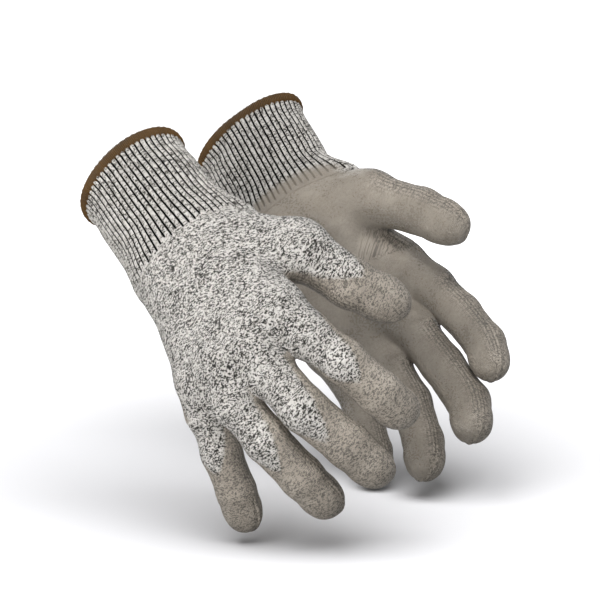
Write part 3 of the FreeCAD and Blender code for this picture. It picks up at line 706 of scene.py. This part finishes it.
def make_glove(side):
    g = Glove(side)
    n = side + "_"
    co, nor, faces = surface(g, STEP)
    d, body, fin, tb = g.field(co, True)
    names = ["body"] + list(F4) + ["thumb"]
    dist = np.stack([body] + [fin[f] for f in F4] + [tb], 1)
    fdist = dist[:, 1:]
    which = np.argmin(fdist, axis=1)            # nearest finger or thumb, for every vertex
    # ---- coordinates of the hand
    q = co - g.wrist
    along = unit(g.n_fold * 0.6 + g.along * 0.4)
    latv = across(g.lat, along)
    dors = np.cross(along, latv)
    if np.dot(dors, g.dorsal) < 0:
        dors = -dors
    v_h = q @ along
    # the back leans forward past the knuckles, so take heights from the line of the bones
    ctr_t = np.clip(v_h / np.dot(g.centre - g.wrist, along), 0, 1)
    bone = g.wrist + ctr_t[:, None] * (g.centre - g.wrist)
    past = np.clip(v_h - np.dot(g.centre - g.wrist, along), 0, 60)
    bone = bone + past[:, None] * (g.front_dir / max(np.dot(g.front_dir, along), 0.3))
    a_h = (co - bone) @ latv
    b_h = (co - bone) @ dors
    phi = np.arctan2(a_h / 36.0, b_h / 19.0)
    facing = np.abs(nor @ dors)
    u = np.where(facing > 0.6, a_h, b_h + 640.0)
    v = v_h.copy()
    planar = a_h.copy()
    edge_deg = 104.0 - 20.0 * sstep(12.0, 48.0, v_h)
    by_phi = (np.abs(np.degrees(phi)) - edge_deg) / 9.0
    # towards the thumb the back of the hand is whatever faces backwards
    nb = across(g.dorsal + 0.5 * unit(g.back["thumb"]), g.along)
    by_nor = (np.degrees(np.arccos(np.clip(nor @ nb, -1, 1))) - 92.0) / 9.0
    wt = sstep(4.0, 22.0, a_h)
    coat_w = by_phi * (1 - wt) + by_nor * wt
    coat_w = np.minimum(coat_w, ((co - g.wrist) @ g.cuff_dir + 2.0) / 2.5)     # the coating starts at the end of the ribs
    thin = np.full(len(co), 0.16)
    flank = np.zeros(len(co))
    coat = coat_w
    # ---- coordinates of the fingers
    disp = np.zeros(len(co))
    fin_w = np.zeros(len(co))
    for i, f in enumerate(list(F4) + ["thumb"]):
        m = which == i
        S, L, B, total = finger_coords(g, f, co[m])
        th = np.arctan2(L, B)
        deg = np.abs(np.degrees(th))
        s_end = TONGUE[f]
        lim = np.where(S < s_end, 80.0 * np.clip(1.0 - (np.clip(S, 0, s_end) / s_end) ** 1.9, 0, 1) ** 0.85, -20.0)
        lim = np.where(S < 0, 78.0 - S * 11.0, lim)
        c_f = (deg - lim) / 13.0
        c_f = np.maximum(c_f, (S - s_end) / 6.0)
        close = sstep(-9.0, 1.0, S)
        near = sstep(9.0, 1.0, fdist[m, i] - body[m])
        cw = coat[m]
        cf = np.where(S > -10, c_f, -5.0)
        if f == "thumb":
            # no band of coating crosses from the hand onto the back of the thumb
            k_ = sstep(-12.0, 6.0, S)
            coat[m] = np.where(S > 6.0, cf, cw * (1 - k_) + np.clip(c_f, -3, 3) * k_)
        else:
            coat[m] = np.where(S > 1.0, cf, np.maximum(cw, cf * 1.0 + (1 - close) * -6))
        thin[m] = np.where(S > -4.0, 0.14 + 0.72 * sstep(150.0, 96.0, deg) * sstep(-4.0, 6.0, S), thin[m])
        # flank marks the sides of each finger, where the material paints dark stripes: partly wales showing through the
        # coating, partly painted shade
        flank[m] = np.exp(-((deg - 98.0) / 24.0) ** 2) * sstep(0.0, 8.0, S) * sstep(total - 3.0, total - 13.0, S) * 0.80
        inside = S > 0.5
        uu, vv, pp = u[m], v[m], planar[m]
        uu[inside] = (10.6 * th)[inside] + 200.0 * (i + 1)
        vv[inside] = S[inside]
        pp[inside] = L[inside] + 200.0 * (i + 1)
        u[m], v[m], planar[m] = uu, vv, pp
        # creases on the palm side of each joint, a little slack over its back, and the closed seam round the tip
        rr = g.r[f] if f != "thumb" else g.r[f][1:]
        s = 0.0
        dm = np.zeros(m.sum())
        pal = sstep(0.1, -0.6, np.cos(th))
        bk = sstep(0.2, 0.8, np.cos(th))
        wob = noise(co[m], 7.0, 5) * 1.1
        for j in range(len(rr) - 2 if f != "thumb" else 1):
            s += np.linalg.norm(rr[j + 1] - rr[j])
            for off, amp, wid in ((-3.4, 0.10, 2.0), (1.4, 0.26, 2.6), (6.0, 0.09, 2.0)):
                dm -= amp * np.exp(-((S - s - off - wob) / wid) ** 2) * pal
            for off, amp, wid in ((-5.5, 0.08, 1.5), (-1.5, 0.12, 1.4), (2.5, 0.10, 1.4), (6.5, 0.07, 1.5)):
                dm += amp * np.exp(-((S - s - off - wob * 1.3) / wid) ** 2) * bk
        for off, amp in ((1.5, 0.14), (6.0, 0.10)):
            dm -= amp * np.exp(-((S - off - wob) / 1.3) ** 2) * pal
        tipw = sstep(total - 30.0, total - 12.0, S)
        dm += 0.55 * np.exp(-((B - 0.6) / 0.75) ** 2) * tipw
        dm -= 0.22 * np.exp(-((np.abs(B - 0.6) - 1.7) / 0.8) ** 2) * tipw
        disp[m] += dm
    coat01 = np.clip(0.5 + coat * 0.5, 0.0, 1.0)
    # the coating stands proud of the knit, and the fabric is never quite smooth
    disp += 0.28 * sstep(0.35, 0.75, coat01)
    disp += 0.30 * noise(co, 14.0, 1) + 0.10 * noise(co, 5.5, 2)
    disp += palm_folds(g, co)
    calm = sstep(0.0, 9.0, (co - g.wrist) @ g.cuff_dir)
    disp *= calm
    co = co + nor * disp[:, None]
    nor = vertex_normals(co, faces)
    kuv = np.stack([u, v, planar], 1)
    # where the stitch coordinates jump from one part of the hand to the next
    torn = (kuv[faces].max(axis=1) - kuv[faces].min(axis=1)).max(axis=1) > 6.0
    gap = np.zeros(len(co))
    gap[np.unique(faces[torn])] = 1.0
    attrs = dict(kuv=kuv, coat=coat01, thin=thin, flank=flank, seam=gap)

    # ---- which piece every face belongs to
    fc = co[faces].mean(axis=1)
    fw = np.array([np.bincount(r, minlength=5).argmax() for r in which[faces]]) if len(faces) < 10 else which[faces[:, 0]]
    s_w = (fc - g.wrist) @ g.cuff_dir
    keep = s_w > 0.0
    region = np.full(len(faces), -1)
    rn = ["wrist", "palm", "front"]
    region[:] = 1
    s_fold = (fc - g.centre) @ g.n_fold
    region[s_fold > FOLD[0]] = 2
    region[s_w < WRIST_TO] = 0
    # a face of the hand that only happens to lie near a finger stays with the hand
    off = fdist[faces, fw[:, None]].mean(axis=1) - body[faces].mean(axis=1)
    zones = {}
    for i, f in enumerate(F4):
        r = g.r[f]
        x1, x2 = unit(r[1] - r[0]), unit(r[2] - r[1])
        m = (fw == i) & ((fc - r[0]) @ x1 > ROOT_FROM) & (off < 7.0)
        ab = r[0] + x1 * ROOT_TO
        bc = (r[1] + r[2]) / 2.0
        region[m] = 3 + i * 3
        m2 = m & (off < 3.0)
        region[m2 & ((fc - ab) @ x1 > 0)] = 4 + i * 3
        region[m2 & ((fc - bc) @ x2 > 0)] = 5 + i * 3
        zones[f] = (r[0] + x1 * ROOT_FROM, ab, bc, x1, x2)
        rn += [f + "_root", f + "_joint", f + "_end"]
    th = g.r["thumb"]
    x1 = unit(th[2] - th[1])
    m = (fw == 4) & ((fc - th[1]) @ g.n_thumb > g.thumb_from) & (off < 7.0)
    tm = th[1] + x1 * 17.0
    region[m] = 15
    region[m & (off < 3.0) & ((fc - tm) @ x1 > 0)] = 16
    rn += ["thumb_base", "thumb_tip"]
    made = {}
    for i, nm in enumerate(rn):
        f = faces[(region == i) & keep]
        made[nm] = shell_piece(n + nm + "_fabric", co, nor, f, attrs, M_GLOVE)

    def bl(nm, a, b, s, e, *nodes):
        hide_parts(*nodes)
        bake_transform(made[nm])

    w0, w1 = g.wrist + g.cuff_dir * WRIST_FROM, g.wrist + g.cuff_dir * WRIST_TO
    bl("wrist", "cuff", "hand", w0, w1, n + "hand_knit")
    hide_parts(n + "hand_knit", n + "palm_coating")
    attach(made["palm"], n + "hand")
    bl("front", "hand", "front", g.centre + g.n_fold * FOLD[0], g.centre + g.n_fold * FOLD[1], n + "knuckle_knit", n + "knuckle_coating")
    for f in F4:
        r0, ab, bc, x1, x2 = zones[f]
        r = g.r[f]
        bl(f + "_root", "front", "%s_lower" % f, r0, ab, n + f + "_lower_knit", n + f + "_lower_coating")
        ch = unit(bc - ab)
        bl(f + "_joint", "%s_lower" % f, "%s_mid" % f, ab + ch * 1.5, bc - ch * 1.5, n + f + "_middle")
        e = r[2] + unit(r[3] - r[2]) * 12.0
        ch = unit(e - bc)
        bl(f + "_end", "%s_mid" % f, "%s_end" % f, bc + ch * 1.5, e, n + f + "_tip")
    bl("thumb_base", "hand", "thumb_lower", th[1] + g.n_thumb * g.thumb_from, tm - x1 * 2.0 if np.dot(tm - th[1], g.n_thumb) < 0 else th[1] + g.n_thumb * (np.dot(tm - th[1], g.n_thumb) - 5.0), n + "thumb_lower_knit", n + "thumb_lower_coating")
    e = th[2] + unit(th[3] - th[2]) * 14.0
    bl("thumb_tip", "thumb_lower", "thumb_end", tm + x1 * 1.0, e, n + "thumb_end")
    make_cuff(g)
    return g


WRIST_FROM, WRIST_TO = -22.0, 11.0
FOLD = (-8.0, 11.0)
ROOT_FROM, ROOT_TO = 3.0, 10.5
RIBS = 56


def palm_folds(g, co):
    """Long soft folds over the palm, where the coated fabric gathers as the hand closes"""
    q = co - g.wrist
    a, b, v = q @ g.lat, q @ g.dorsal, q @ g.along
    pal = sstep(2.0, -6.0, b)
    out = np.zeros(len(co))
    wob = noise(co, 16.0, 8) * 2.2
    for (c0, slope, bend, amp, wid, lo, hi) in ((16.0, 0.75, 0.012, 0.9, 1.6, -30, 26), (30.0, 0.35, 0.010, 0.75, 1.5, -26, 30), (44.0, 0.10, 0.006, 0.8, 1.5, -34, 34),
                                               (22.0, -0.9, 0.0, 0.5, 1.4, -8, 22), (8.0, 0.2, 0.0, 0.5, 1.8, -24, 24)):
        line = c0 + slope * a + bend * a * a + wob
        w = sstep(lo - 6, lo + 6, a) * sstep(hi + 6, hi - 6, a)
        out -= 0.7 * amp * np.exp(-((v - line) / (wid * 1.7)) ** 2) * pal * w
    return out


def make_cuff(g):
    n = g.side + "_"
    per = 10
    M = RIBS * per
    # equal steps round the ellipse
    t = np.linspace(0, 2 * np.pi, 4001)
    A0, B0 = MOUTH[g.side]
    A1, B1 = WRIST_AX
    ex_, ey_ = (A0 + A1) / 2 * np.cos(t), (B0 + B1) / 2 * np.sin(t)
    arc = np.concatenate([[0], np.cumsum(np.hypot(np.diff(ex_), np.diff(ey_)))])
    tt = np.interp(np.arange(M) / M * arc[-1], arc, t)
    L = g.cuff_len
    split = L + WRIST_FROM
    dz = 1.1
    rows_a = np.linspace(0.0, split, int(split / dz) + 1)
    rows_b = np.linspace(split, L, int((L - split) / dz) + 1)
    # the hand's own outline at the junction, found along each direction
    dirs = np.cos(tt)[:, None] * A1 * g.ex + np.sin(tt)[:, None] * B1 * g.ey
    dirs = dirs / np.linalg.norm(dirs, axis=1)[:, None]
    lo, hi = np.full(M, 5.0), np.full(M, 60.0)
    for _ in range(22):
        mid = (lo + hi) / 2
        ins = g.field(g.wrist + dirs * mid[:, None]) < 0
        lo = np.where(ins, mid, lo)
        hi = np.where(ins, hi, mid)
    r_hand = (lo + hi) / 2
    rib_id = np.arange(M) // per
    ph = (np.arange(M) % per) / per
    end_j = _hash(rib_id, rib_id * 0 + 3, rib_id * 0, 77) * 3.4

    def ring(s, inner):
        f = s / (L + 14.0)
        w = sstep(L - 34.0, L, s)
        rv = (np.cos(tt) * (A0 + (A1 - A0) * f))[:, None] * g.ex + (np.sin(tt) * (B0 + (B1 - B0) * f))[:, None] * g.ey
        rv = rv * (1 - w) + dirs * r_hand[:, None] * w
        base = np.linalg.norm(rv, axis=1)
        dr = rv / base[:, None]
        base = base + 0.9 * np.exp(-s / 3.0) - 0.55 * np.exp(-((s - 9.0) / 6.0) ** 2)
        ax = g.hem + g.cuff_dir * s
        pos = ax + dr * base[:, None]
        base = base + (0.55 * noise(pos, 21.0, 21) + 0.22 * noise(pos, 8.0, 22)) * sstep(L, L - 8.0, s)
        jit = noise(np.stack([rib_id * 40.0, np.full(M, s) * 1.0, np.zeros(M)], 1), 2.2, 9) * 0.035
        x = ph + jit - 0.5
        gr = np.exp(-(x / 0.165) ** 4)
        fade = sstep(L - 0.3 - end_j, L - 4.2 - end_j, s)
        gr = gr * fade
        crown = 0.16 * np.cos(2 * np.pi * (ph - 0.0)) * fade
        if inner:
            r = base - 1.9 - 0.28 * np.cos(2 * np.pi * ph) * fade
        else:
            r = base - 0.95 * gr + crown - 0.0
        return ax + dr * r[:, None], gr

    for tag, rows in (("a", rows_a), ("b", rows_b)):
        outer, inner, G1, U, Vv, Cc = [], [], [], [], [], []
        for s in rows:
            o, gr = ring(s, False)
            i_, _ = ring(s, True)
            outer.append(o)
            inner.append(i_)
            G1.append(gr)
            U.append((np.arange(M) / per) * 3.2)
            Vv.append(np.full(M, s))
            Cc.append(sstep(L - 21.0, L - 4.0, s) * sstep(-0.05, -0.60, dirs @ g.ey))
        R = len(rows)
        cv = np.concatenate(Cc + [x * 0.0 for x in Cc])
        co = np.concatenate(outer + inner[::-1])
        gv = np.concatenate(G1 + G1[::-1])
        kuv = np.stack([np.concatenate(U + U), np.concatenate(Vv + Vv[::-1]), np.zeros(len(co))], 1)
        idx = np.arange(2 * R)[:, None] * M + np.arange(M)[None]
        nxt = np.roll(idx, -1, axis=1)
        ii = np.arange(2 * R)
        jj = np.roll(ii, -1)
        faces = np.stack([idx[ii], nxt[ii], nxt[jj], idx[jj]], -1).reshape(-1, 4)
        # face outward
        c = co[faces[M // 3]].mean(0)
        nn = np.cross(co[faces[M // 3][2]] - co[faces[M // 3][0]], co[faces[M // 3][3]] - co[faces[M // 3][1]])
        if np.dot(nn, c - (g.hem + g.cuff_dir * np.dot(c - g.hem, g.cuff_dir))) < 0:
            faces = faces[:, ::-1]
        kuv[:, 2] = kuv[:, 0]
        ob = build_mesh("%scuff_rib_%s" % (n, tag), co, [faces], None, dict(kuv=kuv, groove=gv, coat=cv), M_RIB)
        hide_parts(n + "rib_cuff")
        if tag == "a":
            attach(ob, n + "cuff")
        else:
            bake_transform(ob)
    # ---- hem: a rolled edge wrapped in overlock thread
    K = 14
    N = 1400
    th = np.interp(np.arange(N) / N * arc[-1], arc, t)
    dd = np.cos(th)[:, None] * A0 * g.ex + np.sin(th)[:, None] * B0 * g.ey
    r0 = np.linalg.norm(dd, axis=1)
    dd = dd / r0[:, None]
    wraps = 190
    co, tv = [], []
    base_p = g.hem + dd * r0[:, None]
    wave = 0.45 * noise(base_p, 20.0, 31)
    rib_wave = 0.12 * np.cos(2 * np.pi * RIBS * np.arange(N) / N)
    for k in range(K):
        a = 2 * np.pi * k / K
        ca, sa = math.cos(a), math.sin(a)
        # a rounded band: taller along the cuff than it is thick
        cr = np.sign(ca) * abs(ca) ** 0.8 * 2.0
        cz = np.sign(sa) * abs(sa) ** 0.8 * 3.3
        ph = np.arange(N) / N * wraps + 0.55 * (k / K) * 2
        rel = np.cos(2 * np.pi * ph)
        big = np.cos(2 * np.pi * (ph / 4.0 + 0.1))
        grow = 1.0 + 0.09 * rel + 0.03 * big
        co.append(g.hem - g.cuff_dir * 1.3 + dd * (r0 - 0.35 + wave + rib_wave)[:, None] + dd * (cr * grow)[:, None] + g.cuff_dir * (cz * grow)[:, None])
        # thread: 1 on the crown of each wrap, 0 between wraps; the material uses it for relief and for painted shade
        # between the wraps
        tv.append(0.5 + 0.5 * rel)
    co = np.concatenate(co)
    tv = np.concatenate(tv)
    idx = np.arange(K)[:, None] * N + np.arange(N)[None]
    nx = np.roll(idx, -1, axis=1)
    kk = np.arange(K)
    kj = np.roll(kk, -1)
    faces = np.stack([idx[kk], nx[kk], nx[kj], idx[kj]], -1).reshape(-1, 4)
    f0 = faces[0]
    nn = np.cross(co[f0[2]] - co[f0[0]], co[f0[3]] - co[f0[1]])
    if np.dot(nn, dd[0]) < 0:
        faces = faces[:, ::-1]
    ob = build_mesh(n + "hem_thread", co, [faces], None, dict(thread=tv), M_HEM)
    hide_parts(n + "cuff_hem")
    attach(ob, n + "cuff")


for side in ("right", "left"):
    make_glove(side)
for side in ("right", "left"):
    for nd in ("cuff_elastic",):
        o = frame["nodes"][side + "_" + nd]
        for s in o.material_slots:
            s.material = M_ELASTIC

# ---------------------------------------------------------------- camera, light and floor
EL, DIST, SCALE, CX, CY = math.radians(12.0), 1.5, 1.95, 300.0, 300.0
look = Vector((0.0, math.cos(EL), -math.sin(EL)))
target = Vector(tuple(SHIFT / 1000.0))
cam = bpy.data.cameras.new("camera")
cam.sensor_width = 36.0
cam.lens = SCALE * DIST * 1000.0 * 36.0 / 600.0
cam.clip_start = 0.05
cam.clip_end = 20.0
co_ = bpy.data.objects.new("camera", cam)
bpy.context.scene.collection.objects.link(co_)
co_.location = target - look * DIST
co_.rotation_euler = look.to_track_quat("-Z", "Y").to_euler()
bpy.context.scene.camera = co_

lo = Vector(BOX0[0])
me = bpy.data.meshes.new("floor")
s = 3.5
me.from_pydata([(-s, -s, 0), (s, -s, 0), (s, s, 0), (-s, s, 0)], [], [(0, 1, 2, 3)])
floor = bpy.data.objects.new("floor", me)
floor.location = (0, 0, lo.z - 0.0012)
bpy.context.scene.collection.objects.link(floor)
fm = Nodes("pale_floor")
geo = fm.t.nodes.new("ShaderNodeNewGeometry").outputs["Position"]
n_ = fm.noise(fm.t.nodes.new("ShaderNodeTexCoord").outputs["Object"], 3.0, 2.0)
seen = fm.t.nodes.new("ShaderNodeLightPath").outputs["Is Camera Ray"]
fm.put(fm.b.inputs["Base Color"], fm.mix(seen, (0.42, 0.42, 0.42, 1), fm.mix(fm.mul(n_, 0.3), (0.84, 0.84, 0.86, 1), (0.87, 0.87, 0.89, 1))))
away = fm.math("POWER", fm.add(fm.mul(fm.split(geo)[0], fm.split(geo)[0]), fm.mul(fm.split(geo)[1], fm.split(geo)[1])), 0.5)
fm.put(fm.b.inputs["Emission Strength"], fm.mul(fm.step(away, 0.12, 0.62, 0.02, 1.0), fm.step(seen, 0.0, 1.0, 0.35, 1.0)))
fm.b.inputs["Roughness"].default_value = 0.7
fm.b.inputs["Specular IOR Level"].default_value = 0.2
fm.b.inputs["Emission Color"].default_value = (1, 1, 1, 1)
me.materials.append(fm.mat)


def area(name, loc, to, size, power, col=(1, 1, 1)):
    l = bpy.data.lights.new(name, "AREA")
    l.shape = "RECTANGLE"
    l.size, l.size_y = size
    l.energy = power
    l.color = col
    o = bpy.data.objects.new(name, l)
    o.location = loc
    o.rotation_euler = (Vector(to) - Vector(loc)).to_track_quat("-Z", "Y").to_euler()
    bpy.context.scene.collection.objects.link(o)
    return o


mid = (0.0, -0.02, 0.11)
key = area("key", (-0.55, -1.15, 0.68), mid, (0.35, 0.55), 13.0, (1.0, 0.985, 0.96))
top = area("top", (0.02, -0.45, 1.00), mid, (0.50, 0.35), 7.5)
low = area("low", (-0.62, -1.05, 0.14), mid, (0.45, 0.35), 4.5)
rim = area("rim", (0.70, 0.45, 0.80), mid, (0.5, 0.3), 2.0)
back = area("back", (-0.25, 1.15, 0.55), mid, (0.7, 0.5), 2.8)
soft = area("soft", (-0.02, -0.42, 1.15), (-0.02, -0.10, 0.0), (1.50, 1.20), 25.0)
# the gloves have their own lights; the floor has one, which throws the single soft shadow
floor_only = bpy.data.collections.new("floor_only")
floor_only.objects.link(floor)
soft.light_linking.receiver_collection = floor_only
rest_only = bpy.data.collections.new("all_but_floor")
rest_only.objects.link(floor)
for l in (key, top, low, rim, back):
    l.light_linking.receiver_collection = rest_only
rest_only.collection_objects[0].light_linking.link_state = "EXCLUDE"
world = bpy.data.worlds.new("studio")
world.use_nodes = True
wt = world.node_tree
bg = wt.nodes["Background"]
bg.inputs[0].default_value = (1.0, 1.0, 1.0, 1)
lp = wt.nodes.new("ShaderNodeLightPath")
mr = wt.nodes.new("ShaderNodeMapRange")
mr.inputs["To Min"].default_value = 0.19
mr.inputs["To Max"].default_value = 1.0
wt.links.new(lp.outputs["Is Camera Ray"], mr.inputs["Value"])
wt.links.new(mr.outputs[0], bg.inputs[1])
bpy.context.scene.world = world
bpy.context.scene.view_settings.view_transform = "Standard"

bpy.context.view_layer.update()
print("scene made in %.1f s" % (time.time() - T0))
